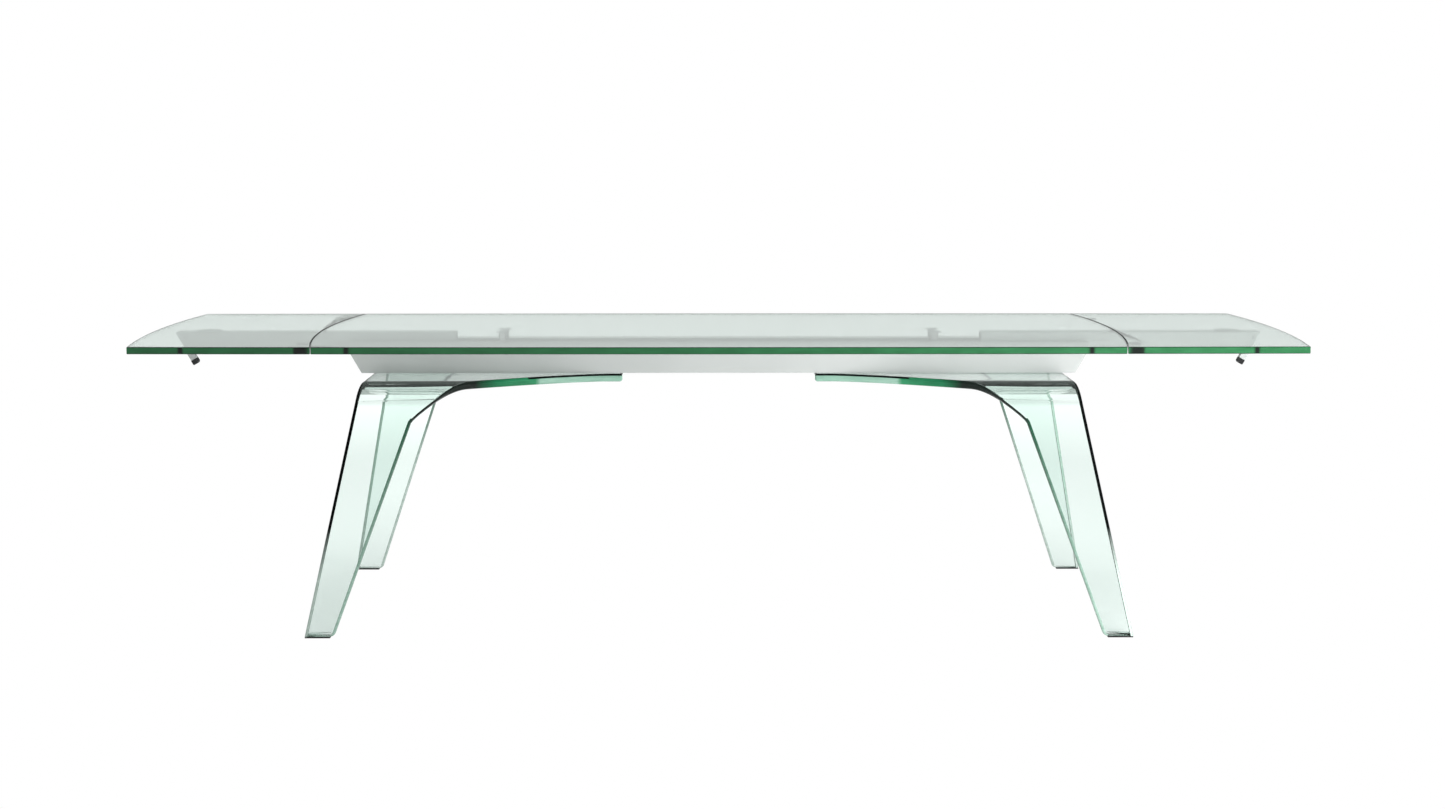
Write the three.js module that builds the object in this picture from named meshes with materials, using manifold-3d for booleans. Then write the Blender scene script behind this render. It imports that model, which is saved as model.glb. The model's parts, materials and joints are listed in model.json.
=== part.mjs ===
// Extendable glass dining table, millimetres, +Z up.
// Origin: on the floor, midway between the feet and midway along the table.
// +X runs along the length of the table, +Y across it. Both leaves are drawn out and raised.

import * as THREE from 'three';
import { mergeVertices } from 'three/addons/utils/BufferGeometryUtils.js';
import Module from 'manifold-3d';

const wasm = await Module();
wasm.setup();

// ---- driving dimensions ----
const tableHeight = 743;
const topThickness = 18;
const mainHalfLength = 1058;
const extendedHalfLength = 1505;
const topHalfWidth = 500;
const seamRise = 43;          // how far the main top's end arc stands out at its middle
const endRise = 32;           // the same for the leaf's outer end
const sideRise = 5.2;         // how far the long sides bow out over one metre
const seamGap = 2;
const fitGap = 0.3;           // clearance between touching pieces

const baseThickness = 21;
const plateTop = 632;         // upper face of the bent glass bases
const bendStart = 262;
const bendRadius = 60;        // outer radius of the glass bend
const footReach = 470;        // outer face of a foot, measured across the table
const padHeight = 3;
const plateOuterX = 921;
const footOuterX = 1051;
const footInnerX = 976;
const armTipX = 256;
const armHalfWidth = 95;
const legInnerSlope = 0.339; // how much the leg's inner edge moves out per mm of glass
const footCornerRadius = 10;
const spacerInnerX = 480;     // plate between a glass base and the housing
const spacerOuterX = 880;
const spacerHalfWidth = 60;

const housingTop = 699;
const housingBottom = 634;
const housingHalfWidth = 90;
const housingHalfLength = 986;
const housingSlope = Math.tan(Math.PI / 6); // the ends lean at 60 degrees to the floor
const sheetGauge = 3;
const slotHalfWidth = 35;

const pillarX = 577;
const pillarY = 36;
const pillarRadius = 10;
const pillarDiscRadius = 19;
const pillarDiscHeight = 3;

const leafDrop = 20;          // how far a leaf sinks before it can slide in
const beamHalfWidth = 28;
const beamTop = 721;
const beamHeight = 42;
const beamInnerX = 704;
const beamOuterX = 1453;
const beamWall = 3;
const leafDiscX = 1367;
const leafDiscRadius = 33;

const saddleStart = 722;
const saddleEnd = 942;
const saddleHalfWidth = 34.5;
const rollerRadius = 11;
const rollerWidth = 10;
const rollerY = 52;           // middle of a roller
const axleRadius = 4;
const axleHeight = 652;
const axleXs = [752, 912];
const railInner = 46;
const railOuter = 64;
const railFlange = 3;

const topUnderside = tableHeight - topThickness;
const beamBottom = beamTop - beamHeight;

// ---- colours ----
const colours = {
  clearGlass: { color: 0xbfe3d2, roughness: 0.05, metalness: 0, transparent: true, opacity: 0.5 },
  satinMetal: { color: 0xc4c8c6, roughness: 0.45, metalness: 0.6 },
  brightMetal: { color: 0xd8dad9, roughness: 0.25, metalness: 0.9 },
  darkSteel: { color: 0x5a5d5e, roughness: 0.5, metalness: 0.7 },
  blackRubber: { color: 0x141414, roughness: 0.85, metalness: 0 },
  blackPlastic: { color: 0x1d1f1f, roughness: 0.6, metalness: 0 },
  whitePlastic: { color: 0xe6e6e2, roughness: 0.5, metalness: 0 },
};

const table = new THREE.Group();

function addPiece(name, geometry, finish) {
  const mesh = new THREE.Mesh(geometry, new THREE.MeshStandardMaterial(colours[finish]));
  mesh.name = name;
  table.add(mesh);
}

// ---- shape helpers ----
function shapeFrom(points) {
  return new THREE.Shape(points.map(([a, b]) => new THREE.Vector2(a, b)));
}

function extrude(points, depth) {
  return new THREE.ExtrudeGeometry(shapeFrom(points), { depth, bevelEnabled: false });
}

// A flat plate: outline in X and Y, from z0 up to z1.
function plate(points, z0, z1) {
  return extrude(points, z1 - z0).translate(0, 0, z0);
}

// A side view in X and Z, carried across the table from y0 to y1.
function sideProfile(points, y0, y1) {
  return extrude(points, y1 - y0).rotateX(Math.PI / 2).translate(0, y1, 0);
}

function block(x0, x1, y0, y1, z0, z1) {
  const box = new THREE.BoxGeometry(Math.abs(x1 - x0), Math.abs(y1 - y0), Math.abs(z1 - z0));
  return box.translate((x0 + x1) / 2, (y0 + y1) / 2, (z0 + z1) / 2);
}

function uprightDisc(radius, x, y, z0, z1, segments = 40) {
  const disc = new THREE.CylinderGeometry(radius, radius, z1 - z0, segments);
  return disc.rotateX(Math.PI / 2).translate(x, y, (z0 + z1) / 2);
}

function crossPin(radius, x, z, y0, y1, segments = 24) {
  const pin = new THREE.CylinderGeometry(radius, radius, y1 - y0, segments);
  return pin.translate(x, (y0 + y1) / 2, z);
}

function solidOf(geometry) {
  const bare = geometry.clone();
  bare.deleteAttribute('normal');
  bare.deleteAttribute('uv');
  const merged = mergeVertices(bare, 1e-4);
  const vertProperties = Float32Array.from(merged.attributes.position.array);
  const triVerts = Uint32Array.from(merged.index.array);
  return new wasm.Manifold(new wasm.Mesh({ numProp: 3, vertProperties, triVerts }));
}

function geometryOf(solid) {
  const mesh = solid.getMesh();
  const geometry = new THREE.BufferGeometry();
  geometry.setAttribute('position', new THREE.BufferAttribute(Float32Array.from(mesh.vertProperties), 3));
  geometry.setIndex(new THREE.BufferAttribute(Uint32Array.from(mesh.triVerts), 1));
  return geometry;
}

function cut(geometry, ...tools) {
  return geometryOf(tools.reduce((solid, tool) => solid.subtract(solidOf(tool)), solidOf(geometry)));
}

function join(geometry, ...others) {
  return geometryOf(others.reduce((solid, other) => solid.add(solidOf(other)), solidOf(geometry)));
}

// A solid skinned over a row of four-cornered sections, closed at both ends.
function skin(sections) {
  const points = sections.flat();
  const index = [];
  const quad = (a, b, c, d) => index.push(a, b, c, a, c, d);
  for (let i = 0; i + 1 < sections.length; i += 1) {
    for (let k = 0; k < 4; k += 1) {
      const next = (k + 1) % 4;
      quad(4 * i + k, 4 * i + next, 4 * i + 4 + next, 4 * i + 4 + k);
    }
  }
  const last = 4 * (sections.length - 1);
  quad(3, 2, 1, 0);
  quad(last, last + 1, last + 2, last + 3);
  const corner = (n) => new THREE.Vector3(...points[n]);
  let volume = 0;
  for (let i = 0; i < index.length; i += 3) {
    volume += corner(index[i]).dot(corner(index[i + 1]).cross(corner(index[i + 2])));
  }
  if (volume < 0) index.reverse();
  const geometry = new THREE.BufferGeometry();
  geometry.setAttribute('position', new THREE.Float32BufferAttribute(points.flat(), 3));
  geometry.setIndex(index);
  return geometry;
}

// ---- the glass top ----
function sideY(x) {
  return topHalfWidth - sideRise * (x / 1000) ** 2;
}

// How far an end arc of the given rise falls back at y.
function endFall(y, rise) {
  const radius = (topHalfWidth ** 2 + rise ** 2) / (2 * rise);
  return radius - Math.sqrt(radius ** 2 - y ** 2);
}

// Points along an end arc, from the near side to the far side.
function endArc(side, halfLength, rise, steps = 32) {
  const cornerY = sideY(halfLength - rise);
  const points = [];
  for (let i = 0; i <= steps; i += 1) {
    const y = -cornerY + (2 * cornerY * i) / steps;
    points.push([side * (halfLength - endFall(y, rise)), y]);
  }
  return points;
}

// Points along a bowed long side, strictly between two stations.
function bowedSide(xStart, xEnd, ySign, steps) {
  const points = [];
  for (let i = 1; i < steps; i += 1) {
    const x = xStart + ((xEnd - xStart) * i) / steps;
    points.push([x, ySign * sideY(x)]);
  }
  return points;
}

function makeMainTop() {
  const right = endArc(1, mainHalfLength, seamRise);
  const left = endArc(-1, mainHalfLength, seamRise).reverse();
  const cornerX = right[0][0];
  const outline = [
    ...right,
    ...bowedSide(cornerX, -cornerX, 1, 24),
    ...left,
    ...bowedSide(-cornerX, cornerX, -1, 24),
  ];
  addPiece('main_top_glass', plate(outline, topUnderside, tableHeight), 'clearGlass');
}

function makeLeaf(name, side) {
  const outer = endArc(side, extendedHalfLength, endRise);
  const inner = endArc(side, mainHalfLength + seamGap, seamRise).reverse();
  const outerX = outer[0][0];
  const innerX = inner[0][0];
  const outline = [
    ...outer,
    ...bowedSide(outerX, innerX, 1, 6),
    ...inner,
    ...bowedSide(innerX, outerX, -1, 6),
  ];
  addPiece(`${name}_leaf_glass`, plate(outline, topUnderside, tableHeight), 'clearGlass');
}

// ---- the bent glass bases ----
const legDrop = plateTop - bendRadius - padHeight;
const legRun = footReach - bendStart;
const tangentLength = Math.sqrt(legRun ** 2 + legDrop ** 2 - bendRadius ** 2);
const lean = Math.atan2(legRun, legDrop) - Math.atan2(bendRadius, tangentLength);
const bendAngle = Math.PI / 2 - lean;
const middleRadius = bendRadius - baseThickness / 2;
const bendEnd = bendStart + middleRadius * bendAngle;
const glassEnd = bendEnd + tangentLength;

function outerEdgeX(s) {
  const along = Math.max(0, s - bendStart) / (glassEnd - bendStart);
  return plateOuterX + (footOuterX - plateOuterX) * along;
}

// The inner edge sweeps from the arm to the leg on one long curve.
const sweepEnd = 384;
const sweepTangent = 27;
const sweepEndX = footInnerX - legInnerSlope * (glassEnd - sweepEnd);
const sweep = new THREE.CubicBezierCurve(
  new THREE.Vector2(290, armHalfWidth),
  new THREE.Vector2(410, armHalfWidth),
  new THREE.Vector2(sweepEndX - sweepTangent * legInnerSlope, sweepEnd - sweepTangent),
  new THREE.Vector2(sweepEndX, sweepEnd),
);

function sweepX(s) {
  let low = 0;
  let high = 1;
  for (let i = 0; i < 40; i += 1) {
    const middle = (low + high) / 2;
    if (sweep.getPoint(middle).y < s) low = middle;
    else high = middle;
  }
  return sweep.getPoint(low).x;
}

function innerEdgeX(s) {
  const tipRadius = 6;
  if (s <= armHalfWidth) {
    const past = Math.max(0, s - (armHalfWidth - tipRadius));
    return armTipX + tipRadius - Math.sqrt(tipRadius ** 2 - past ** 2);
  }
  if (s <= sweepEnd) return sweepX(s);
  const past = Math.max(0, s - (glassEnd - footCornerRadius));
  const rounding = footCornerRadius - Math.sqrt(footCornerRadius ** 2 - past ** 2);
  return sweepEndX + legInnerSlope * (s - sweepEnd) + rounding;
}

// Outer and inner face of the sheet, in Y and Z, at glass length s from the middle.
function sheetAt(s) {
  if (s <= bendStart) return [[s, plateTop], [s, plateTop - baseThickness]];
  if (s <= bendEnd) {
    const turn = (s - bendStart) / middleRadius;
    const centreZ = plateTop - bendRadius;
    return [bendRadius, bendRadius - baseThickness].map((radius) => [
      bendStart + radius * Math.sin(turn),
      centreZ + radius * Math.cos(turn),
    ]);
  }
  // The section turns from square across the leg to level at the foot.
  const z = padHeight + (glassEnd - s) * Math.cos(lean);
  const y = footReach - (z - padHeight) * Math.tan(lean);
  const slide = baseThickness * Math.tan(lean) * ((s - bendEnd) / (glassEnd - bendEnd));
  const innerY = y - baseThickness * Math.cos(lean) - slide * Math.sin(lean);
  const innerZ = z - baseThickness * Math.sin(lean) + slide * Math.cos(lean);
  return [[y, z], [innerY, innerZ]];
}

function glassStations() {
  const stations = [0, 40, armHalfWidth - 6, armHalfWidth - 4, armHalfWidth - 2, armHalfWidth - 0.7, armHalfWidth];
  for (let i = 1; i <= 16; i += 1) stations.push(sweep.getPoint(i / 16).y);
  for (let i = 0; i <= 9; i += 1) stations.push(bendStart + ((bendEnd - bendStart) * i) / 9);
  stations.push(armHalfWidth + 0.2, 560, 740);
  for (const back of [10, 7, 4, 1.5, 0]) stations.push(glassEnd - back);
  stations.sort((a, b) => a - b);
  return stations.filter((s, i) => i === 0 || s - stations[i - 1] > 0.05);
}

function makeBase(name, side) {
  const half = glassStations();
  const whole = [...half.slice(1).reverse().map((s) => -s), ...half];
  const sections = whole.map((s) => {
    const across = Math.sign(s) || 1;
    const [outer, inner] = sheetAt(Math.abs(s));
    const far = side * outerEdgeX(Math.abs(s));
    const near = side * innerEdgeX(Math.abs(s));
    return [
      [far, across * outer[0], outer[1]],
      [near, across * outer[0], outer[1]],
      [near, across * inner[0], inner[1]],
      [far, across * inner[0], inner[1]],
    ];
  });
  addPiece(`${name}_base_glass`, skin(sections), 'clearGlass');
  for (const [place, across] of [['front', -1], ['rear', 1]]) makeFootPad(name, side, place, across);
  const spacer = block(
    side * spacerInnerX, side * spacerOuterX,
    -spacerHalfWidth, spacerHalfWidth,
    plateTop + fitGap, housingBottom - fitGap,
  );
  addPiece(`${name}_mounting_plate`, spacer, 'satinMetal');
}

function makeFootPad(name, side, place, across) {
  const innerFace = footReach - baseThickness / Math.cos(lean);
  const inset = 1;
  const pad = block(
    side * (footInnerX + footCornerRadius),
    side * (footOuterX - inset),
    across * (innerFace + inset),
    across * (footReach - inset),
    0,
    padHeight - fitGap,
  );
  addPiece(`${name}_${place}_foot_pad`, pad, 'blackRubber');
}

// ---- the central housing ----
function housingReach(z) {
  return housingHalfLength - (housingTop - z) * housingSlope;
}

function trapezoid(z0, z1, inset = 0) {
  const low = housingReach(z0) - inset;
  const high = housingReach(z1) - inset;
  return [[-low, z0], [low, z0], [high, z1], [-high, z1]];
}

function makeHousing() {
  const lidBottom = housingTop - sheetGauge;
  const wallTop = lidBottom - fitGap;
  const wallInner = housingHalfWidth - sheetGauge;
  const outside = sideProfile(trapezoid(housingBottom, wallTop), -housingHalfWidth, housingHalfWidth);
  const hollow = block(-1100, 1100, -wallInner, wallInner, housingBottom + sheetGauge, housingTop + 10);
  addPiece('housing_tray', cut(outside, hollow), 'satinMetal');

  for (const [name, across] of [['front', -1], ['rear', 1]]) {
    const inner = across * slotHalfWidth;
    const outer = across * housingHalfWidth;
    const lid = sideProfile(trapezoid(lidBottom, housingTop), Math.min(inner, outer), Math.max(inner, outer));
    addPiece(`housing_${name}_lid`, lid, 'satinMetal');
  }
  for (const [name, side] of [['left', -1], ['right', 1]]) makeHousingEnd(name, side, wallInner, wallTop);
}

function makeHousingEnd(name, side, wallInner, wallTop) {
  const z0 = housingBottom + sheetGauge + fitGap;
  const gauge = sheetGauge / Math.cos(Math.PI / 6);
  const outline = [
    [side * housingReach(z0), z0],
    [side * housingReach(wallTop), wallTop],
    [side * (housingReach(wallTop) - gauge), wallTop],
    [side * (housingReach(z0) - gauge), z0],
  ];
  const end = sideProfile(outline, -wallInner + fitGap, wallInner - fitGap);
  const gateHalfWidth = beamHalfWidth + 4;
  const gateBottom = beamBottom - leafDrop - 4;
  const gate = block(side * 900, side * 1000, -gateHalfWidth, gateHalfWidth, gateBottom, housingTop + 10);
  addPiece(`housing_${name}_end`, cut(end, gate), 'satinMetal');
}

// Two channel rails run the length of the housing and carry the rollers of both carriages.
function makeRails() {
  const trackLow = axleHeight - rollerRadius - fitGap;
  const trackHigh = axleHeight + rollerRadius + fitGap;
  for (const [name, across] of [['front', -1], ['rear', 1]]) {
    const section = [
      [across * railInner, trackLow - railFlange],
      [across * railOuter, trackLow - railFlange],
      [across * railOuter, trackHigh + railFlange],
      [across * railInner, trackHigh + railFlange],
      [across * railInner, trackHigh],
      [across * (railOuter - railFlange), trackHigh],
      [across * (railOuter - railFlange), trackLow],
      [across * railInner, trackLow],
    ];
    const railHalfLength = housingReach(trackLow) - 12;
    const rail = extrude(section, 2 * railHalfLength);
    rail.rotateX(Math.PI / 2).rotateZ(Math.PI / 2).translate(-railHalfLength, 0, 0);
    addPiece(`${name}_rail`, rail, 'brightMetal');
  }
}

// Cross frames tie the lids, rails and walls together under each pair of pillars.
function makeCrossFrames() {
  const wallInner = housingHalfWidth - sheetGauge - fitGap;
  const bottom = housingBottom + sheetGauge + fitGap;
  const top = housingTop - sheetGauge - fitGap;
  const gateHalfWidth = saddleHalfWidth + 1.5;
  const halfGauge = 6;
  const railHalfHeight = rollerRadius + railFlange + 3 * fitGap;
  const past = 20;
  for (const [name, side] of [['left', -1], ['right', 1]]) {
    const x0 = side * (pillarX - halfGauge);
    const x1 = side * (pillarX + halfGauge);
    const frame = block(x0, x1, -wallInner, wallInner, bottom, top);
    const gate = block(x0 - past, x1 + past, -gateHalfWidth, gateHalfWidth, bottom + sheetGauge, top + past);
    const railGates = [-1, 1].map((across) => block(
      x0 - past, x1 + past,
      across * (railInner - fitGap), across * (railOuter + fitGap),
      axleHeight - railHalfHeight, axleHeight + railHalfHeight,
    ));
    addPiece(`${name}_cross_frame`, cut(frame, gate, ...railGates), 'darkSteel');
  }
  const stop = block(-30, 30, -slotHalfWidth + 2, slotHalfWidth - 2, bottom, axleHeight + 12);
  addPiece('centre_stop', stop, 'blackRubber');
}

function makePillars() {
  for (const [name, side] of [['left', -1], ['right', 1]]) {
    for (const [place, across] of [['front', -1], ['rear', 1]]) {
      const x = side * pillarX;
      const y = across * (pillarY + pillarRadius);
      const discBottom = topUnderside - fitGap - pillarDiscHeight;
      const shaft = uprightDisc(pillarRadius, x, y, housingTop + fitGap, discBottom - fitGap, 32);
      addPiece(`${name}_${place}_pillar`, shaft, 'brightMetal');
      const disc = uprightDisc(pillarDiscRadius, x, y, discBottom, topUnderside - fitGap);
      addPiece(`${name}_${place}_bonding_disc`, disc, 'brightMetal');
    }
  }
}

// ---- one carriage, locked at the outer end of its travel ----
const guidePinXs = [736, 928];
const guidePinRadius = 4;
const guidePinHeight = beamBottom + 9;
const guidePinReach = 35;

function makeCarriage(name, side) {
  const floor = axleHeight - rollerRadius - 1;
  const gauge = 3.5;
  const cheekInner = beamHalfWidth + 3;
  const cheekTop = housingTop - sheetGauge - 1.5;
  const body = block(side * saddleStart, side * saddleEnd, -saddleHalfWidth, saddleHalfWidth, floor, cheekTop);
  const trough = block(side * 700, side * 960, -cheekInner, cheekInner, floor + gauge, cheekTop + 20);
  const slots = guidePinXs.flatMap((x) => guideSlot(side * x));
  const bores = axleXs.map((x) => crossPin(axleRadius + fitGap, side * x, axleHeight, -60, 60));
  const open = cut(body, trough, ...slots, ...bores);
  addPiece(`${name}_carriage`, join(open, rampBlock(side, floor + 1)), 'darkSteel');

  const axleReach = rollerY + rollerWidth / 2 + 2;
  axleXs.forEach((x, i) => {
    const axle = crossPin(axleRadius, side * x, axleHeight, -axleReach, axleReach);
    addPiece(`${name}_axle_${i + 1}`, axle, 'brightMetal');
    for (const [place, across] of [['front', -1], ['rear', 1]]) {
      const ring = rollerRing().translate(side * x, across * rollerY, axleHeight);
      addPiece(`${name}_${place}_roller_${i + 1}`, ring, 'whitePlastic');
    }
  });
}

// A vertical slot through both cheeks, long enough for the whole drop.
function guideSlot(x) {
  const reach = guidePinRadius + fitGap;
  const low = guidePinHeight - leafDrop;
  const straight = block(x - reach, x + reach, -60, 60, low, guidePinHeight);
  return [straight, crossPin(reach, x, low, -60, 60), crossPin(reach, x, guidePinHeight, -60, 60)];
}

function rollerRing() {
  const halfWidth = rollerWidth / 2;
  const bore = axleRadius + fitGap;
  const profile = [
    [bore, -halfWidth],
    [rollerRadius - 1, -halfWidth],
    [rollerRadius, -halfWidth + 1],
    [rollerRadius, halfWidth - 1],
    [rollerRadius - 1, halfWidth],
    [bore, halfWidth],
    [bore, -halfWidth],
  ];
  return new THREE.LatheGeometry(profile.map(([r, h]) => new THREE.Vector2(r, h)), 28);
}

// The carriage's ramp falls outwards, and the wedge on the push rod slides down it.
// The rod moves out by rodTravel while the leaf sinks by leafDrop.
const rodTravel = 14;
const rampFall = leafDrop / rodTravel;
const rampTopX = 800;
const rampTopZ = 674;
const rampRun = 22;
const wedgeHalfWidth = 12;

function rampBlock(side, bottom) {
  const outline = [
    [side * (rampTopX - 14), bottom],
    [side * (rampTopX - 14), rampTopZ],
    [side * rampTopX, rampTopZ],
    [side * (rampTopX + rampRun), rampTopZ - rampRun * rampFall],
    [side * (rampTopX + rampRun), bottom],
  ];
  return sideProfile(outline, -wedgeHalfWidth, wedgeHalfWidth);
}

// ---- what rises and falls with a leaf ----
const leverHalfWidth = 10;
const leverThickness = 17;
const leverPivotZ = 706;
const leverPinRadius = 4;
const leverLean = Math.PI / 6;    // the lever lies along the beam's sloping end
const leverLength = 49.7;         // from the pivot to the grip
const gripLength = 13.6;
const rodHeight = 688;
const rodRadius = 4.5;
const rodPinRadius = 2.5;
const forkInner = leverHalfWidth + 0.5;
const forkOuter = leverHalfWidth + 3;

function endSlope(z) {
  return beamOuterX - (beamTop - z) * housingSlope;
}

const halfThick = leverThickness / 2;
const leverPivotX = endSlope(leverPivotZ - halfThick * Math.sin(leverLean)) - halfThick * Math.cos(leverLean);

// A point on the lever: how far down from the pivot, and how far in from its outer face.
function leverPoint(side, along, depth) {
  const outwards = halfThick - depth;
  const x = leverPivotX + outwards * Math.cos(leverLean) - along * Math.sin(leverLean);
  const z = leverPivotZ - outwards * Math.sin(leverLean) - along * Math.cos(leverLean);
  return [side * x, z];
}

function makeBeam(name, side) {
  const outside = sideProfile([
    [side * beamInnerX, beamBottom],
    [side * endSlope(beamBottom), beamBottom],
    [side * beamOuterX, beamTop],
    [side * beamInnerX, beamTop],
  ], -beamHalfWidth, beamHalfWidth);
  const endWall = 4.6;
  const ceiling = beamTop - beamWall;
  const below = beamBottom - 10;
  const hollowHalfWidth = beamHalfWidth - beamWall;
  const hollow = sideProfile([
    [side * (beamInnerX - 10), below],
    [side * (endSlope(below) - endWall), below],
    [side * (endSlope(ceiling) - endWall), ceiling],
    [side * (beamInnerX - 10), ceiling],
  ], -hollowHalfWidth, hollowHalfWidth);
  const notch = block(side * 1400, side * 1470, -forkOuter - 0.5, forkOuter + 0.5, below, ceiling);
  const pinBore = crossPin(leverPinRadius + fitGap, side * leverPivotX, leverPivotZ, -40, 40);
  const channel = cut(outside, hollow, notch, pinBore);
  const stubs = guidePinXs.flatMap((x) => [
    crossPin(guidePinRadius, side * x, guidePinHeight, -guidePinReach, -hollowHalfWidth - 1, 20),
    crossPin(guidePinRadius, side * x, guidePinHeight, hollowHalfWidth + 1, guidePinReach, 20),
  ]);
  addPiece(`${name}_lift_beam`, join(channel, ...stubs), 'satinMetal');

  const pinReach = beamHalfWidth + 1;
  const pin = crossPin(leverPinRadius, side * leverPivotX, leverPivotZ, -pinReach, pinReach);
  addPiece(`${name}_lever_pin`, pin, 'brightMetal');
  const disc = uprightDisc(leafDiscRadius, side * leafDiscX, 0, beamTop + fitGap, topUnderside - fitGap, 48);
  addPiece(`${name}_leaf_disc`, disc, 'brightMetal');
}

const tabStart = 1044;
const tabEnd = 1073;
const tabY = 360;
const tabHalfWidth = 6;
const tabHeight = 5;

function makeTabs(name, side) {
  for (const [place, across] of [['front', -1], ['rear', 1]]) {
    const y0 = across * tabY - tabHalfWidth;
    const y1 = across * tabY + tabHalfWidth;
    const z1 = topUnderside - fitGap;
    const tab = block(side * tabStart, side * tabEnd, y0, y1, z1 - tabHeight, z1);
    addPiece(`${name}_${place}_locating_tab`, tab, 'blackPlastic');
  }
}

function makeLever(name, side) {
  const roundTop = Array.from({ length: 11 }, (_, i) => {
    const turn = (i / 10) * Math.PI;
    return leverPoint(side, -halfThick * Math.sin(turn), halfThick + halfThick * Math.cos(turn));
  });
  const outline = [
    leverPoint(side, leverLength, 0),
    leverPoint(side, leverLength, leverThickness),
    ...roundTop,
  ];
  const bar = sideProfile(outline, -leverHalfWidth, leverHalfWidth);
  const bore = crossPin(leverPinRadius + fitGap, side * leverPivotX, leverPivotZ, -40, 40);
  const slotReach = 3.4;
  const slotStart = 15;
  const slotEnd = 24;
  const slot = sideProfile([
    leverPoint(side, slotStart, halfThick - slotReach),
    leverPoint(side, slotEnd, halfThick - slotReach),
    leverPoint(side, slotEnd, halfThick + slotReach),
    leverPoint(side, slotStart, halfThick + slotReach),
  ], -40, 40);
  addPiece(`${name}_lever`, cut(bar, bore, slot), 'satinMetal');

  const start = leverLength + fitGap;
  const end = start + gripLength;
  const corner = 6;
  const roundCorner = Array.from({ length: 6 }, (_, i) => {
    const turn = (i / 5) * (Math.PI / 2);
    const along = end - corner + corner * Math.cos(turn);
    return leverPoint(side, along, leverThickness - corner + corner * Math.sin(turn));
  });
  const grip = [
    leverPoint(side, start, -0.5),
    leverPoint(side, end - 1.5, -0.5),
    leverPoint(side, end, 1),
    ...roundCorner,
    leverPoint(side, start, leverThickness),
  ];
  addPiece(`${name}_lever_grip`, sideProfile(grip, -leverHalfWidth - 1, leverHalfWidth + 1), 'blackRubber');
}

// The push rod runs inside the beam, from a fork round the lever to the wedge on the ramp.
function makePushRod(name, side) {
  const faceGap = 1.5 * fitGap;
  const wedgeTop = rodHeight + 5;
  const wedgeEnd = rampTopX + 26;
  const upper = 4;
  const lower = 6;
  const wedge = sideProfile([
    [side * (rampTopX - upper + faceGap), wedgeTop],
    [side * (rampTopX - upper + faceGap), rampTopZ + upper * rampFall],
    [side * (rampTopX + lower + faceGap), rampTopZ - lower * rampFall],
    [side * wedgeEnd, rampTopZ - lower * rampFall],
    [side * wedgeEnd, wedgeTop],
  ], -wedgeHalfWidth, wedgeHalfWidth);

  const pinX = leverPivotX - (leverPivotZ - rodHeight) * Math.tan(leverLean);
  const forkStart = pinX - 32;
  const forkEnd = pinX + 5;
  const forkHalfHeight = 5;
  const forkBlock = block(
    side * forkStart, side * forkEnd,
    -forkOuter, forkOuter,
    rodHeight - forkHalfHeight, rodHeight + forkHalfHeight,
  );
  const gate = block(side * (pinX - 22), side * (pinX + 10), -forkInner, forkInner, rodHeight - 20, rodHeight + 20);
  const fork = join(cut(forkBlock, gate), crossPin(rodPinRadius, side * pinX, rodHeight, -forkOuter, forkOuter, 16));

  const rodStart = wedgeEnd - 2;
  const rodLength = forkStart + 2 - rodStart;
  const rod = new THREE.CylinderGeometry(rodRadius, rodRadius, rodLength, 16);
  rod.rotateZ(Math.PI / 2).translate(side * (rodStart + rodLength / 2), 0, rodHeight);
  addPiece(`${name}_push_rod`, join(rod, wedge, fork), 'darkSteel');
}

// ---- assembly ----
makeMainTop();
makeHousing();
makeRails();
makeCrossFrames();
makePillars();
for (const [name, side] of [['left', -1], ['right', 1]]) {
  makeBase(name, side);
  makeCarriage(name, side);
  makeLeaf(name, side);
  makeBeam(name, side);
  makeTabs(name, side);
  makeLever(name, side);
  makePushRod(name, side);
}

export default table;
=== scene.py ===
import json
import math

import bmesh
import bpy
from mathutils import Matrix, Vector


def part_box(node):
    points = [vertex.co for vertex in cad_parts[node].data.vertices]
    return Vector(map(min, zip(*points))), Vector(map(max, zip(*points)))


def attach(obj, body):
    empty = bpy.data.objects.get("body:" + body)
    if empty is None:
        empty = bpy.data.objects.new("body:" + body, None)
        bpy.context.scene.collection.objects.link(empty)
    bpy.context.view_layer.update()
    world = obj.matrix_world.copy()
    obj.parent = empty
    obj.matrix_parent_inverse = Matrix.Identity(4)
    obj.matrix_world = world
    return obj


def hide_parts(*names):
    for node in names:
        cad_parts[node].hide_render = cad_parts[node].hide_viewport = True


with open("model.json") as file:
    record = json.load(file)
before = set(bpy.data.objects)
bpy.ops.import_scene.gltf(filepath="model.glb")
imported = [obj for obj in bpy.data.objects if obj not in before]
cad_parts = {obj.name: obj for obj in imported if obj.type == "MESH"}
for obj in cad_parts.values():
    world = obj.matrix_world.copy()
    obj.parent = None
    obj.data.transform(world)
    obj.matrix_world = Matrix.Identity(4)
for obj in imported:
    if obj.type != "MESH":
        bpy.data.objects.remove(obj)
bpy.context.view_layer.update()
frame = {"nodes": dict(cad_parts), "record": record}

nodes = frame["nodes"]
scene = bpy.context.scene
mm = 0.001
print("frame loaded:", len(nodes), "nodes")


# camera
cameraPlace = {
    "spot": (-0.026, -6.4728, 1.3328),
    "tiltDeg": 83.003,
    "turnDeg": -0.324,
    "lens": 60.17,
    "sensor": 36.0,
    "clipStart": 0.05,
    "clipEnd": 200.0,
}


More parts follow.
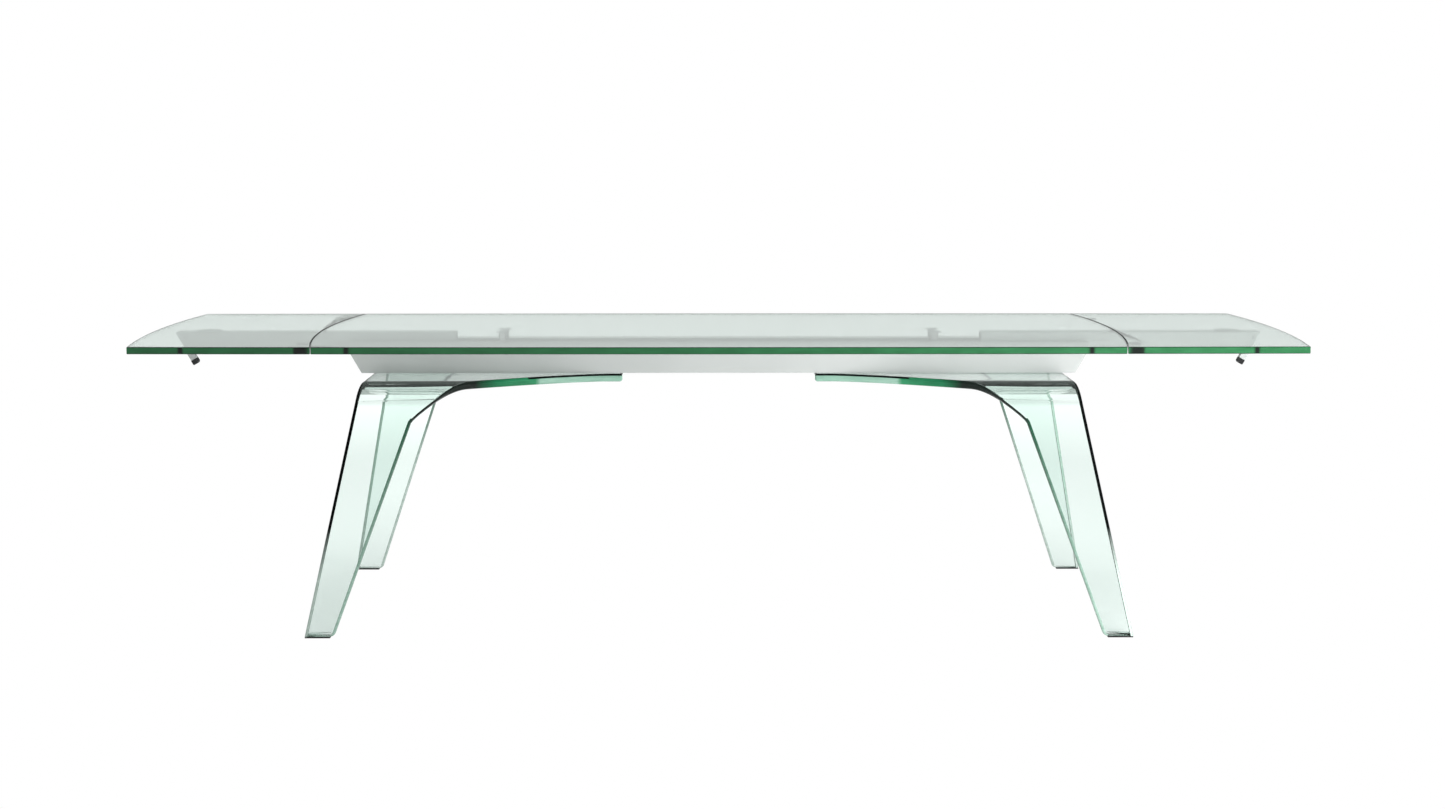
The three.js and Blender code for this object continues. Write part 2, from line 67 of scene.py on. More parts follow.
def placeCamera(look):
    data = bpy.data.cameras.new("studioCamera")
    data.lens = look["lens"]
    data.sensor_width = look["sensor"]
    data.clip_start = look["clipStart"]
    data.clip_end = look["clipEnd"]
    camera = bpy.data.objects.new("studioCamera", data)
    scene.collection.objects.link(camera)
    camera.location = look["spot"]
    camera.rotation_euler = (math.radians(look["tiltDeg"]), 0.0, math.radians(look["turnDeg"]))
    scene.camera = camera


placeCamera(cameraPlace)
print("camera placed")


# node helpers
class Finish:
    # a material being built, with short ways to add and join its nodes
    def __init__(self, name):
        self.material = bpy.data.materials.new(name)
        self.material.use_nodes = True
        self.tree = self.material.node_tree
        self.tree.nodes.clear()
        self.output = self.add("ShaderNodeOutputMaterial")
        self.spot = None

    def add(self, kind, **settings):
        node = self.tree.nodes.new(kind)
        for key, value in settings.items():
            setattr(node, key, value)
        return node

    def join(self, source, target):
        self.tree.links.new(source, target)

    def place(self, scale=(1.0, 1.0, 1.0)):
        if self.spot is None:
            self.spot = self.add("ShaderNodeTexCoord").outputs["Object"]
        mapping = self.add("ShaderNodeMapping")
        mapping.inputs["Scale"].default_value = scale
        self.join(self.spot, mapping.inputs["Vector"])
        return mapping.outputs["Vector"]

    def noise(self, size, stretch=(1.0, 1.0, 1.0), detail=3.0, roughness=0.5):
        # size is the width of one blotch in metres
        noise = self.add("ShaderNodeTexNoise")
        noise.inputs["Scale"].default_value = 1.0 / size
        noise.inputs["Detail"].default_value = detail
        noise.inputs["Roughness"].default_value = roughness
        self.join(self.place(stretch), noise.inputs["Vector"])
        return noise.outputs["Fac"]

    def spread(self, value, low, high, fromLow=0.35, fromHigh=0.65):
        ramp = self.add("ShaderNodeMapRange")
        ramp.inputs["From Min"].default_value = fromLow
        ramp.inputs["From Max"].default_value = fromHigh
        ramp.inputs["To Min"].default_value = low
        ramp.inputs["To Max"].default_value = high
        self.join(value, ramp.inputs["Value"])
        return ramp.outputs["Result"]

    def blendColours(self, value, first, second, fromLow=0.35, fromHigh=0.65):
        mix = self.add("ShaderNodeMix", data_type="RGBA")
        mix.inputs["A"].default_value = (*first, 1.0)
        mix.inputs["B"].default_value = (*second, 1.0)
        self.join(self.spread(value, 0.0, 1.0, fromLow, fromHigh), mix.inputs["Factor"])
        return mix.outputs["Result"]

    def stops(self, value, pairs):
        # colours given at places between 0 and 1
        ramp = self.add("ShaderNodeValToRGB")
        elements = ramp.color_ramp.elements
        while len(elements) < len(pairs):
            elements.new(0.5)
        for element, (place, colour) in zip(elements, pairs):
            element.position = place
            element.color = (*colour, 1.0)
        self.join(value, ramp.inputs["Fac"])
        return ramp.outputs["Color"]

    def bump(self, height, strength, depth):
        bump = self.add("ShaderNodeBump")
        bump.inputs["Strength"].default_value = strength
        bump.inputs["Distance"].default_value = depth
        self.join(height, bump.inputs["Height"])
        return bump.outputs["Normal"]


# clear glass; heights gives how much of the tint is kept at each height above the floor, as painted shade:
# the base glass is darker towards the floor as a painted shadow under the table, and darker from 0.58 m up,
# on the bends and arms under the housing
glassIor = 1.52
topGlassLook = {
    "tint": (0.83, 0.915, 0.88),
    "tintHazy": (0.815, 0.905, 0.87),
    "lampTint": (0.93, 0.965, 0.95),
    "smudgeSize": 0.16,
    "smear": 0.0015,
    "smearFrom": 0.5,
    "smearTo": 0.75,
    "heights": ((0.0, 1.0), (1.0, 1.0)),
}
baseGlassLook = {
    **topGlassLook,
    "tint": (0.865, 0.945, 0.915),
    "tintHazy": (0.855, 0.94, 0.905),
    "heights": ((0.0, 0.84), (0.05, 0.86), (0.24, 1.0), (0.572, 1.0), (0.580, 0.80), (0.70, 0.80)),
}


def clearGlass(name, look):
    glass = Finish(name)
    surface = glass.add("ShaderNodeBsdfPrincipled")
    surface.inputs["Transmission Weight"].default_value = 1.0
    surface.inputs["IOR"].default_value = glassIor
    smudge = glass.noise(look["smudgeSize"], detail=4.0)
    split = glass.add("ShaderNodeSeparateXYZ")
    glass.join(glass.place(), split.inputs["Vector"])
    # painted shade by height, multiplied into the tint
    depth = glass.stops(split.outputs["Z"], [(z, (share, share, share)) for z, share in look["heights"]])
    tint = glass.add("ShaderNodeMix", data_type="RGBA", blend_type="MULTIPLY")
    tint.inputs["Factor"].default_value = 1.0
    glass.join(glass.blendColours(smudge, look["tint"], look["tintHazy"]), tint.inputs["A"])
    glass.join(depth, tint.inputs["B"])
    glass.join(tint.outputs["Result"], surface.inputs["Base Color"])
    haze = glass.spread(smudge, 0.0, look["smear"], look["smearFrom"], look["smearTo"])
    glass.join(haze, surface.inputs["Roughness"])
    lamp = glass.add("ShaderNodeBsdfTransparent")
    lamp.inputs["Color"].default_value = (*look["lampTint"], 1.0)
    ray = glass.add("ShaderNodeLightPath")
    mix = glass.add("ShaderNodeMixShader")
    glass.join(ray.outputs["Is Shadow Ray"], mix.inputs["Fac"])
    glass.join(surface.outputs["BSDF"], mix.inputs[1])
    glass.join(lamp.outputs["BSDF"], mix.inputs[2])
    glass.join(mix.outputs["Shader"], glass.output.inputs["Surface"])
    return glass.material


# polished rims, where a sheet is seen end on; the glass's own deep green edge colour is mixed with painted
# reflection: near black and pale stretches stand in for what the rims reflect and show through them
# each stop is a distance out from the middle of the table, in metres, and a colour
# below fadeLow the rim has its foot colour, and above fadeHigh the colour of its stop; a pale foot is
# painted reflection of the floor
rimReach = 1.6
deepGreen = (0.020, 0.108, 0.042)
paintedReflectionBlack = (0.006, 0.010, 0.008)
topRimLook = {
    # painted reflections: the near black stretches at 0.922 to 0.932, 1.026 to 1.056 and 1.336 to 1.346 m
    # stand in for the tabs, housing ends and discs seen in the front rim
    "stops": ((0.0, deepGreen), (0.918, deepGreen),
              (0.922, paintedReflectionBlack), (0.932, paintedReflectionBlack), (0.936, deepGreen),
              (1.022, deepGreen), (1.026, paintedReflectionBlack), (1.056, paintedReflectionBlack), (1.062, deepGreen),
              (1.332, deepGreen), (1.336, paintedReflectionBlack), (1.346, paintedReflectionBlack), (1.350, deepGreen)),
    "foot": deepGreen, "fadeLow": -1.0, "fadeHigh": -0.9,
    "streak": 0.5, "sheen": 0.12, "rough": (0.08, 0.16),
}
# painted reflection: the arrises and seam ends of the top are painted near black green
darkRimLook = {
    **topRimLook,
    "stops": ((0.0, (0.010, 0.040, 0.020)), (1.0, (0.008, 0.020, 0.012)), (1.6, (0.012, 0.045, 0.022))),
}
# painted reflection on the legs' inner rims: the pale, green and near black stretches along the arms and the
# pale foot stand in for what the rims reflect
innerRimLook = {
    "stops": ((0.25, (0.25, 0.41, 0.33)), (0.47, (0.28, 0.44, 0.36)),
              (0.478, (0.030, 0.22, 0.10)),
              (0.58, (0.012, 0.14, 0.06)), (0.63, paintedReflectionBlack), (0.785, paintedReflectionBlack),
              (0.80, (0.022, 0.085, 0.050)), (1.1, (0.07, 0.17, 0.11))),
    "foot": (0.30, 0.42, 0.36), "fadeLow": 0.05, "fadeHigh": 0.50,
    "streak": 0.45, "sheen": 0.15, "rough": (0.08, 0.18),
}
# painted reflection on the legs' outer rims: near black for the dark surroundings, paling to the foot colour
# below 0.27 m for the floor
outerRimLook = {
    "stops": ((0.25, (0.003, 0.004, 0.004)), (1.1, (0.003, 0.004, 0.004))),
    "foot": (0.50, 0.58, 0.54), "fadeLow": 0.14, "fadeHigh": 0.27,
    "streak": 0.3, "sheen": 0.02, "rough": (0.15, 0.25),
}
streakLook = {"size": 0.02, "stretch": (0.35, 0.35, 2.0), "dim": (0.45, 0.55, 0.5), "plain": (1.0, 1.0, 1.0)}
# painted light: the rear legs' rims are painted paler than the front legs' rims, though the real legs are
# alike
rearInnerLook = {**innerRimLook, "foot": (0.45, 0.53, 0.49), "fadeLow": 0.30, "fadeHigh": 0.56}
rearOuterLook = {**outerRimLook, "stops": ((0.25, (0.38, 0.50, 0.44)), (1.1, (0.42, 0.55, 0.48)))}


def rimGlass(name, look):
    rim = Finish(name)
    surface = rim.add("ShaderNodeBsdfPrincipled")
    surface.inputs["IOR"].default_value = glassIor
    surface.inputs["Specular IOR Level"].default_value = look["sheen"]
    split = rim.add("ShaderNodeSeparateXYZ")
    rim.join(rim.place(), split.inputs["Vector"])
    out = rim.add("ShaderNodeMath", operation="ABSOLUTE")
    rim.join(split.outputs["X"], out.inputs[0])
    share = rim.add("ShaderNodeMath", operation="DIVIDE")
    rim.join(out.outputs["Value"], share.inputs[0])
    share.inputs[1].default_value = rimReach
    stops = [(place / rimReach, colour) for place, colour in look["stops"]]
    along = rim.stops(share.outputs["Value"], stops)
    fade = rim.add("ShaderNodeMix", data_type="RGBA")
    fade.inputs["B"].default_value = (*look["foot"], 1.0)
    rim.join(along, fade.inputs["A"])
    height = rim.spread(split.outputs["Z"], 1.0, 0.0, look["fadeLow"], look["fadeHigh"])
    rim.join(height, fade.inputs["Factor"])
    streaks = rim.noise(streakLook["size"], streakLook["stretch"], detail=4.0)
    dim = rim.add("ShaderNodeMix", data_type="RGBA", blend_type="MULTIPLY")
    dim.inputs["Factor"].default_value = look["streak"]
    rim.join(fade.outputs["Result"], dim.inputs["A"])
    rim.join(rim.blendColours(streaks, streakLook["dim"], streakLook["plain"]), dim.inputs["B"])
    rim.join(dim.outputs["Result"], surface.inputs["Base Color"])
    rim.join(rim.spread(streaks, *look["rough"]), surface.inputs["Roughness"])
    rim.join(surface.outputs["BSDF"], rim.output.inputs["Surface"])
    return rim.material


topGlass = clearGlass("topGlass", topGlassLook)
baseGlass = clearGlass("baseGlass", baseGlassLook)
topRim = rimGlass("topRim", topRimLook)
innerRim = rimGlass("baseInnerRim", innerRimLook)
outerRim = rimGlass("baseOuterRim", outerRimLook)
rearInner = rimGlass("baseRearInnerRim", rearInnerLook)
rearOuter = rimGlass("baseRearOuterRim", rearOuterLook)
darkRim = rimGlass("topDarkRim", darkRimLook)
print("glass mixed")


# metals, rubber and plastics
satinLook = {
    "pale": (0.47, 0.48, 0.475),
    "dull": (0.44, 0.45, 0.445),
    "metal": 0.15,
    "roughLow": 0.34,
    "roughHigh": 0.46,
    "grain": (0.02, 1.0, 1.0),
    "grainSize": 0.0009,
    "grainStrength": 0.12,
    "grainDepth": 0.0002,
    "cloudSize": 0.22,
}
brightLook = {**satinLook, "pale": (0.50, 0.50, 0.50), "dull": (0.42, 0.42, 0.43), "metal": 1.0,
              "roughLow": 0.16, "roughHigh": 0.26, "grain": (1.0, 1.0, 1.0), "grainSize": 0.0016,
              "grainStrength": 0.05}
darkSteelLook = {**satinLook, "pale": (0.20, 0.205, 0.21), "dull": (0.14, 0.145, 0.15), "metal": 0.9,
                 "roughLow": 0.38, "roughHigh": 0.55, "grain": (0.3, 1.0, 1.0), "grainSize": 0.002}


def brushedMetal(name, look):
    metal = Finish(name)
    surface = metal.add("ShaderNodeBsdfPrincipled")
    surface.inputs["Metallic"].default_value = look["metal"]
    cloud = metal.noise(look["cloudSize"], detail=3.0)
    grain = metal.noise(look["grainSize"], look["grain"], detail=2.0)
    metal.join(metal.blendColours(cloud, look["pale"], look["dull"]), surface.inputs["Base Color"])
    both = metal.add("ShaderNodeMath", operation="MULTIPLY_ADD")
    metal.join(grain, both.inputs[0])
    both.inputs[1].default_value = 0.5
    half = metal.add("ShaderNodeMath", operation="MULTIPLY")
    metal.join(cloud, half.inputs[0])
    half.inputs[1].default_value = 0.5
    metal.join(half.outputs["Value"], both.inputs[2])
    rough = metal.spread(both.outputs["Value"], look["roughLow"], look["roughHigh"])
    metal.join(rough, surface.inputs["Roughness"])
    metal.join(metal.bump(grain, look["grainStrength"], look["grainDepth"]), surface.inputs["Normal"])
    metal.join(surface.outputs["BSDF"], metal.output.inputs["Surface"])
    return metal.material


rubberLook = {
    "deep": (0.012, 0.012, 0.013),
    "dusty": (0.035, 0.035, 0.036),
    "roughLow": 0.62,
    "roughHigh": 0.85,
    "pitSize": 0.0012,
    "pitStrength": 0.35,
    "pitDepth": 0.0003,
    "cloudSize": 0.02,
}
plasticLook = {**rubberLook, "deep": (0.02, 0.021, 0.022), "dusty": (0.035, 0.036, 0.038), "roughLow": 0.42,
               "roughHigh": 0.6, "pitSize": 0.0007, "pitStrength": 0.2}
rollerLook = {**rubberLook, "deep": (0.78, 0.78, 0.75), "dusty": (0.66, 0.66, 0.63), "roughLow": 0.35,
              "roughHigh": 0.5, "pitSize": 0.001, "pitStrength": 0.1}


def mouldedSkin(name, look):
    skin = Finish(name)
    surface = skin.add("ShaderNodeBsdfPrincipled")
    cloud = skin.noise(look["cloudSize"], detail=4.0)
    pits = skin.noise(look["pitSize"], detail=3.0)
    skin.join(skin.blendColours(cloud, look["deep"], look["dusty"]), surface.inputs["Base Color"])
    skin.join(skin.spread(cloud, look["roughLow"], look["roughHigh"]), surface.inputs["Roughness"])
    skin.join(skin.bump(pits, look["pitStrength"], look["pitDepth"]), surface.inputs["Normal"])
    skin.join(surface.outputs["BSDF"], skin.output.inputs["Surface"])
    return skin.material


finishes = {
    "top_glass": topGlass,
    "base_glass": baseGlass,
    "satin_housing": brushedMetal("satinHousing", satinLook),
    "satin_beam": brushedMetal("satinBeam", satinLook),
    "bright_steel": brushedMetal("brightSteel", brightLook),
    "dark_steel": brushedMetal("darkSteel", darkSteelLook),
    "foot_rubber": mouldedSkin("footRubber", rubberLook),
    "grip_rubber": mouldedSkin("gripRubber", rubberLook),
    "black_plastic": mouldedSkin("blackPlastic", plasticLook),
    "roller_plastic": mouldedSkin("rollerPlastic", rollerLook),
}
print("finishes mixed:", len(finishes))


# which node takes which finish
def slotsByNode(record):
    return {subpart["node"]: subpart["material_slot"] for subpart in record["subparts"]}


nodeSlots = slotsByNode(frame["record"])
for name, node in nodes.items():
    finish = finishes[nodeSlots[name]]
    node.data.materials.clear()
    node.data.materials.append(finish)
    for face in node.data.polygons:
        face.material_index = 0
slotReach = 0.036        # lid faces within this of the middle line face the slot
upright = 0.9            # a face whose normal leans at least this far across the table is a side
# painted shade: the lid faces along the slot take the black plastic finish to darken the slot where shade
# falls inside the housing
for name in ("housing_front_lid", "housing_rear_lid"):
    mesh = nodes[name].data
    mesh.materials.append(finishes["black_plastic"])
    for face in mesh.polygons:
        if abs(face.normal.y) > upright and abs(face.center.y) < slotReach:
            face.material_index = 1
print("nodes finished:", len(nodeSlots))


# glass sheets with polished rims
glassSheets = {
    "main_top_glass": {"arris": 1.8 * mm, "steps": 2, "body": "base", "bent": False},
    "left_leaf_glass": {"arris": 1.8 * mm, "steps": 2, "body": "left_leaf", "bent": False},
    "right_leaf_glass": {"arris": 1.8 * mm, "steps": 2, "body": "right_leaf", "bent": False},
    "left_base_glass": {"arris": 7.0 * mm, "steps": 5, "body": "base", "bent": True},
    "right_base_glass": {"arris": 7.0 * mm, "steps": 5, "body": "base", "bent": True},
}
bendStart = 0.262        # where the base glass leaves the level, measured across the table
rimTilt = 0.12           # a rim face points out of the sheet by more than this
footLine = 0.004         # a leg face below this height is the foot
seamReach = 1.08         # seams between main top and leaves lie within this of the middle
armLine = 0.18           # the rims of the arm and the plate end within this of the middle line
levelFace = 0.97         # how upright a normal is on the open face of a level sheet
seamFace = 0.6
arrisFace = 0.2
upperArris = 0.3
weldReach = 1e-6
flatAngle = 0.0003


def cleanCopy(node):
    bm = bmesh.new()
    bm.from_mesh(nodes[node].data)
    bmesh.ops.remove_doubles(bm, verts=bm.verts, dist=weldReach)
    bmesh.ops.dissolve_limit(bm, angle_limit=flatAngle, verts=bm.verts, edges=bm.edges)
    return bm


def sharpEdges(bm, degrees):
    limit = math.radians(degrees)
    return [e for e in bm.edges if len(e.link_faces) == 2 and e.calc_face_angle() > limit]


def markSmooth(bm, degrees):
    limit = math.radians(degrees)
    for face in bm.faces:
        face.smooth = True
    for edge in bm.edges:
        edge.smooth = len(edge.link_faces) == 2 and edge.calc_face_angle() < limit


# 0 is the open sheet, 1 a rim, 2 an arris or seam of the top or the outer rim of a leg
# the rims of a rear leg are 3 and 4
def rimOf(face, bent):
    normal = face.normal
    middle = face.calc_center_median()
    if not bent:
        if abs(normal.z) > levelFace:
            return 0
        seam = abs(middle.x) < seamReach and abs(normal.x) > seamFace
        return 2 if seam or abs(normal.z) > arrisFace else 1
    rear = 2 if middle.y > bendStart else 0
    if abs(normal.x) > rimTilt and abs(middle.y) > armLine:
        return rear + (2 if normal.x * middle.x > 0 else 1)
    if abs(middle.y) < bendStart:
        if abs(normal.z) > levelFace:
            return 0
        return 2 if normal.z > upperArris else 1
    return 1 if middle.z < footLine else 0


def newPiece(name, bm, materials, body, replaced=()):
    mesh = bpy.data.meshes.new(name)
    bm.to_mesh(mesh)
    bm.free()
    for material in materials:
        mesh.materials.append(material)
    piece = bpy.data.objects.new(name, mesh)
    scene.collection.objects.link(piece)
    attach(piece, body)
    if replaced:
        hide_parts(*replaced)
    return piece


def roundOff(bm, edges, width, steps):
    bmesh.ops.bevel(bm, geom=edges, offset=width, offset_type="OFFSET", segments=steps, profile=0.5,
                    affect="EDGES", material=-1)


topMaterials = [topGlass, topRim, darkRim]
baseMaterials = [baseGlass, innerRim, outerRim, rearInner, rearOuter]
for node, look in glassSheets.items():
    bm = cleanCopy(node)
    roundOff(bm, sharpEdges(bm, 40), look["arris"], look["steps"])
    markSmooth(bm, 35)
    for face in bm.faces:
        face.material_index = rimOf(face, look["bent"])
    materials = baseMaterials if look["bent"] else topMaterials
    piece = newPiece(node + "_sheet", bm, materials, look["body"], [node])
    even = piece.modifiers.new("evenNormals", "WEIGHTED_NORMAL")
    even.mode = "FACE_AREA"
    even.weight = 90
    even.keep_sharp = True
print("glass sheets made")


# turned and fitted metal parts
def turnedPiece(name, profile, centre, finish, body, replaced=(), steps=48):
    # profile pairs are radius and height, spun round an upright axis
    bm = bmesh.new()
    x, y = centre
    verts = [bm.verts.new((x + radius, y, z)) for radius, z in profile]
    edges = [bm.edges.new(pair) for pair in zip(verts, verts[1:])]
    bmesh.ops.spin(bm, geom=verts + edges, cent=(x, y, 0.0), axis=(0.0, 0.0, 1.0), angle=math.tau,
                   steps=steps, use_merge=True)
    bmesh.ops.remove_doubles(bm, verts=bm.verts, dist=weldReach)
    bmesh.ops.recalc_face_normals(bm, faces=bm.faces)
    markSmooth(bm, 30)
    return newPiece(name, bm, [finish], body, replaced)


def middleOf(low, high):
    return (low[0] + high[0]) / 2, (low[1] + high[1]) / 2


pillarLook = {"chamfer": 0.7 * mm, "groove": 0.9 * mm, "grooveHeight": 2.0 * mm}
discLook = {"chamfer": 0.7 * mm, "step": 0.5 * mm, "hub": 0.62, "sink": 0.2 * mm}


def makePillar(node, look):
    low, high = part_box(node)
    radius = (high[0] - low[0]) / 2
    z0, z1 = low[2], high[2]
    third = (z1 - z0) / 3
    chamfer = look["chamfer"]
    groove = look["groove"]
    half = look["grooveHeight"] / 2
    waist = radius - groove
    profile = [(0.0, z0), (radius - chamfer, z0), (radius, z0 + chamfer)]
    for z in (z0 + third, z1 - third):
        profile += [(radius, z - half), (waist, z - half + groove),
                    (waist, z + half - groove), (radius, z + half)]
    profile += [(radius, z1 - chamfer), (radius - chamfer, z1), (0.0, z1)]
    turnedPiece(node + "_turned", profile, middleOf(low, high), finishes[nodeSlots[node]], "base",
                [node])


def makeDisc(node, body, look):
    low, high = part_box(node)
    radius = (high[0] - low[0]) / 2
    z0, z1 = low[2], high[2]
    chamfer = look["chamfer"]
    hub = radius * look["hub"]
    step = z0 + look["step"]
    sunk = z1 - look["sink"]
    profile = [(0.0, z0), (hub, z0), (hub + chamfer, step), (radius - chamfer, step),
               (radius, step + chamfer), (radius, z1 - chamfer), (radius - chamfer, z1), (hub, z1),
               (hub - chamfer, sunk), (0.0, sunk)]
    turnedPiece(node + "_turned", profile, middleOf(low, high), finishes[nodeSlots[node]], body,
                [node], 64)


for side in ("left", "right"):
    for place in ("front", "rear"):
        makePillar(f"{side}_{place}_pillar", pillarLook)
        makeDisc(f"{side}_{place}_bonding_disc", "base", discLook)
    makeDisc(f"{side}_leaf_disc", f"{side}_leaf", discLook)
print("discs and pillars turned")

spotLook = {"radius": 7.0 * mm, "taper": 0.95, "spread": 15.0 * mm, "rise": 0.2 * mm}
gripLook = {"ribs": 3, "pitch": 3.4 * mm, "length": 15.2 * mm, "proud": 0.6 * mm, "width": 1.6 * mm,
            "round": 0.5 * mm, "lean": 30.0}
screwLook = {"radius": 4.0 * mm, "height": 2.2 * mm, "taper": 0.86, "socket": 2.2 * mm, "depth": 1.4 * mm,
             "out": 62.0 * mm, "lean": 30.0}


def makeGlueSpots(side, look):
    low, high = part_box(side + "_leaf_disc")
    x, y = middleOf(low, high)
    bm = bmesh.new()
    for step in (-1, 1):
        place = Matrix.Translation((x + step * look["spread"], y, high[2] - look["rise"] / 2))
        bmesh.ops.create_cone(bm, cap_ends=True, segments=32, radius1=look["radius"],
                              radius2=look["radius"] * look["taper"], depth=look["rise"], matrix=place)
    markSmooth(bm, 30)
    newPiece(side + "_leaf_disc_spots", bm, [finishes["roller_plastic"]], side + "_leaf")


def makeGripRibs(side, sign, look):
    low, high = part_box(side + "_lever_grip")
    middle = Vector(((low[0] + high[0]) / 2, 0.0, (low[2] + high[2]) / 2))
    turn = Matrix.Rotation(math.radians(sign * look["lean"]), 4, "Y")
    wide = (high[1] - low[1]) + 2 * look["proud"]
    bm = bmesh.new()
    for rib in range(look["ribs"]):
        along = (rib - (look["ribs"] - 1) / 2) * look["pitch"]
        size = Matrix.Diagonal((look["length"], wide, look["width"], 1.0))
        place = Matrix.Translation(middle) @ turn @ Matrix.Translation((0.0, 0.0, along)) @ size
        bmesh.ops.create_cube(bm, size=1.0, matrix=place)
    roundOff(bm, list(bm.edges), look["round"], 2)
    markSmooth(bm, 40)
    newPiece(side + "_grip_ribs", bm, [finishes["grip_rubber"]], side + "_lever")


def makeEndScrews(side, sign, look):
    low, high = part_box(f"housing_{side}_end")
    lean = math.radians(look["lean"])
    outside = high[0] if sign > 0 else low[0]
    z = (low[2] + high[2]) / 2
    drop = (high[2] - z) * math.tan(lean)
    bm = bmesh.new()
    for across in (-1, 1):
        place = Matrix.Translation((outside - sign * drop, across * look["out"], z))
        turn = Matrix.Rotation(sign * (math.pi / 2 + lean), 4, "Y")
        head = bmesh.ops.create_cone(bm, cap_ends=True, segments=32, radius1=look["radius"],
                                     radius2=look["radius"] * look["taper"], depth=look["height"],
                                     matrix=place @ turn)
        top = max((f for v in head["verts"] for f in v.link_faces if len(f.verts) > 4),
                  key=lambda f: sign * f.calc_center_median().x)
        bmesh.ops.inset_individual(bm, faces=[top], thickness=look["radius"] - look["socket"],
                                   use_even_offset=True)
        bmesh.ops.translate(bm, verts=list(top.verts), vec=top.normal * -look["depth"])
    markSmooth(bm, 30)
    newPiece(side + "_end_screws", bm, [finishes["bright_steel"]], "base")


for side, sign in (("left", -1), ("right", 1)):
    makeGlueSpots(side, spotLook)
    makeGripRibs(side, sign, gripLook)
    makeEndScrews(side, sign, screwLook)
print("small fittings made")


# soft edges on the metal
softEdgeAngle = 35


def softEdges(node, width, segments=2):
    piece = nodes[node]
    weld = piece.modifiers.new("weld", "WELD")
    weld.merge_threshold = weldReach
    bevel = piece.modifiers.new("softEdges", "BEVEL")
    bevel.width = width
    bevel.segments = segments
    bevel.limit_method = "ANGLE"
    bevel.angle_limit = math.radians(softEdgeAngle)
    bevel.harden_normals = True


# widths in millimetres
edgeWidths = {
    "housing_tray": 0.8, "housing_front_lid": 0.7, "housing_rear_lid": 0.7,
    "housing_left_end": 0.5, "housing_right_end": 0.5,
}
for side in ("left", "right"):
    edgeWidths[side + "_lift_beam"] = 0.6
    edgeWidths[side + "_lever"] = 1.5
    edgeWidths[side + "_lever_grip"] = 2.0
    edgeWidths[side + "_carriage"] = 0.5
    edgeWidths[side + "_mounting_plate"] = 0.6
    edgeWidths[side + "_cross_frame"] = 0.5
    for place in ("front", "rear"):
        edgeWidths[f"{side}_{place}_locating_tab"] = 0.8
        edgeWidths[f"{side}_{place}_foot_pad"] = 0.5
for node, width in edgeWidths.items():
    softEdges(node, width * mm)
print("edges softened:", len(edgeWidths))


# studio: a white surround for the camera, and a shaped one for everything else
# the floor glows from glowNear inside nearReach up to glowFar beyond farReach; the dimmer glow near the
# table is a painted shadow under it
# sides, front and above are where the light around the table changes, as parts of a direction
studio = {
    "floorHalf": 60.0,
    "glowNear": 0.50,
    "glowFar": 0.88,
    "nearReach": 3.0,
    "farReach": 5.5,
    "floorPaint": 0.75,
    "floorBlotch": 0.98,
    "backdrop": 1.0,
    "backLevel": 0.60,
    "sideDark": 0.05,
    "frontLevel": 0.10,
    "overhead": 1.0,
    "litColour": (0.955, 1.0, 0.98),
    "sides": (0.42, 0.62),
    "front": (-0.75, -0.2),
    "above": (0.35, 0.75),
}


def makeFloor(look):
    bm = bmesh.new()
    bmesh.ops.create_grid(bm, x_segments=1, y_segments=1, size=look["floorHalf"])
    mesh = bpy.data.meshes.new("studioFloor")
    bm.to_mesh(mesh)
    bm.free()
    floor = bpy.data.objects.new("studioFloor", mesh)
    scene.collection.objects.link(floor)
    paint = Finish("floorPaint")
    surface = paint.add("ShaderNodeBsdfPrincipled")
    shade = look["floorPaint"]
    blotch = shade * look["floorBlotch"]
    cloud = paint.noise(0.8)
    colour = paint.blendColours(cloud, (shade, shade, shade), (blotch, blotch, blotch))
    paint.join(colour, surface.inputs["Base Color"])
    surface.inputs["Roughness"].default_value = 0.8
    surface.inputs["Specular IOR Level"].default_value = 0.0
    surface.inputs["Emission Color"].default_value = (1.0, 1.0, 1.0, 1.0)
    out = paint.add("ShaderNodeVectorMath", operation="LENGTH")
    paint.join(paint.place(), out.inputs[0])
    # painted shadow: the glow is dimmer near the table
    glow = paint.spread(out.outputs["Value"], look["glowNear"], look["glowFar"], look["nearReach"],
                        look["farReach"])
    paint.join(glow, surface.inputs["Emission Strength"])
    white = paint.add("ShaderNodeEmission")
    ray = paint.add("ShaderNodeLightPath")
    mix = paint.add("ShaderNodeMixShader")
    paint.join(ray.outputs["Is Camera Ray"], mix.inputs["Fac"])
    paint.join(surface.outputs["BSDF"], mix.inputs[1])
    paint.join(white.outputs["Emission"], mix.inputs[2])
    paint.join(mix.outputs["Shader"], paint.output.inputs["Surface"])
    mesh.materials.append(paint.material)


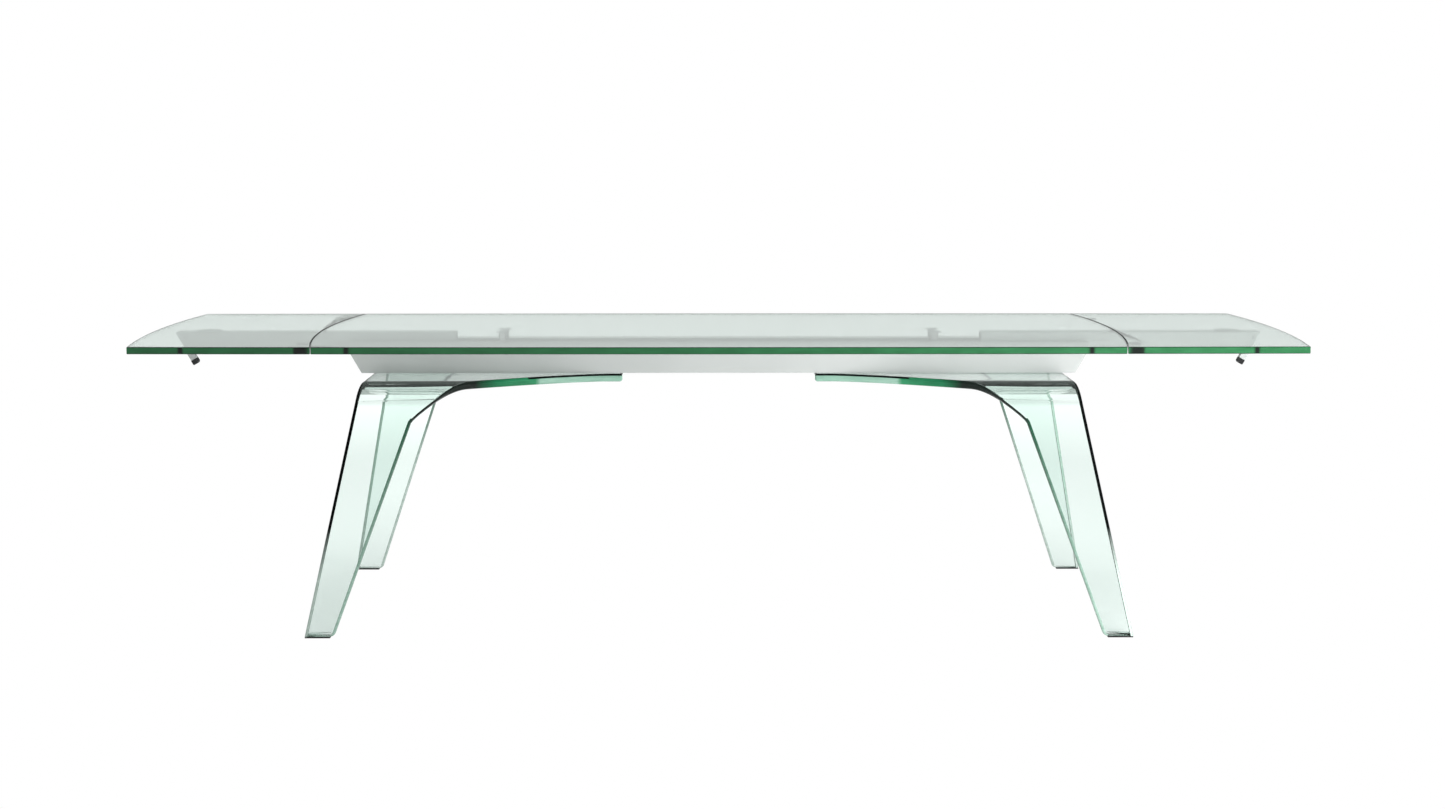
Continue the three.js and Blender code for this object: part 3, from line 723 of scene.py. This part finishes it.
def makeSky(look):
    world = bpy.data.worlds.new("studioSky")
    scene.world = world
    world.use_nodes = True
    tree = world.node_tree
    tree.nodes.clear()
    add = tree.nodes.new
    link = tree.links.new

    def calculate(operation, *values):
        node = add("ShaderNodeMath")
        node.operation = operation
        for value, socket in zip(values, node.inputs):
            link(value, socket)
        return node.outputs["Value"]

    def ramp(value, fromLow, fromHigh, low, high):
        node = add("ShaderNodeMapRange")
        node.interpolation_type = "SMOOTHSTEP"
        link(value, node.inputs["Value"])
        node.inputs["From Min"].default_value = fromLow
        node.inputs["From Max"].default_value = fromHigh
        node.inputs["To Min"].default_value = low
        node.inputs["To Max"].default_value = high
        return node.outputs["Result"]

    direction = add("ShaderNodeTexCoord").outputs["Generated"]
    split = add("ShaderNodeSeparateXYZ")
    link(direction, split.inputs["Vector"])
    x, y, z = split.outputs
    sides = ramp(calculate("ABSOLUTE", x), *look["sides"], 1.0, look["sideDark"])
    front = ramp(y, *look["front"], look["frontLevel"], look["backLevel"])
    level = calculate("MULTIPLY", sides, front)
    above = ramp(z, *look["above"], 0.0, look["overhead"])
    brightness = calculate("MAXIMUM", level, above)
    lit = add("ShaderNodeBackground")
    lit.inputs["Color"].default_value = (*look["litColour"], 1.0)
    link(brightness, lit.inputs["Strength"])
    plain = add("ShaderNodeBackground")
    plain.inputs["Color"].default_value = (1.0, 1.0, 1.0, 1.0)
    plain.inputs["Strength"].default_value = look["backdrop"]
    ray = add("ShaderNodeLightPath")
    mix = add("ShaderNodeMixShader")
    link(ray.outputs["Is Camera Ray"], mix.inputs["Fac"])
    link(lit.outputs["Background"], mix.inputs[1])
    link(plain.outputs["Background"], mix.inputs[2])
    output = add("ShaderNodeOutputWorld")
    link(mix.outputs["Shader"], output.inputs["Surface"])


softbox = {"spot": (1.5, -2.0, 0.8), "aim": (0.9, 0.0, 0.66), "size": 1.0, "power": 58.0}


def makeSoftbox(look):
    data = bpy.data.lights.new("rightSoftbox", "AREA")
    data.shape = "RECTANGLE"
    data.size = look["size"]
    data.size_y = look["size"]
    data.energy = look["power"]
    lamp = bpy.data.objects.new("rightSoftbox", data)
    scene.collection.objects.link(lamp)
    lamp.location = look["spot"]
    aim = Vector(look["aim"]) - Vector(look["spot"])
    lamp.rotation_euler = aim.to_track_quat("-Z", "Y").to_euler()
    lamp.visible_camera = False
    lamp.visible_transmission = False
    lamp.visible_glossy = False


makeFloor(studio)
makeSky(studio)
makeSoftbox(softbox)
scene.view_settings.view_transform = "Standard"
scene.view_settings.look = "None"
scene.cycles.max_bounces = 24
scene.cycles.transmission_bounces = 24
scene.cycles.glossy_bounces = 16
scene.cycles.transparent_max_bounces = 24
print("studio set")
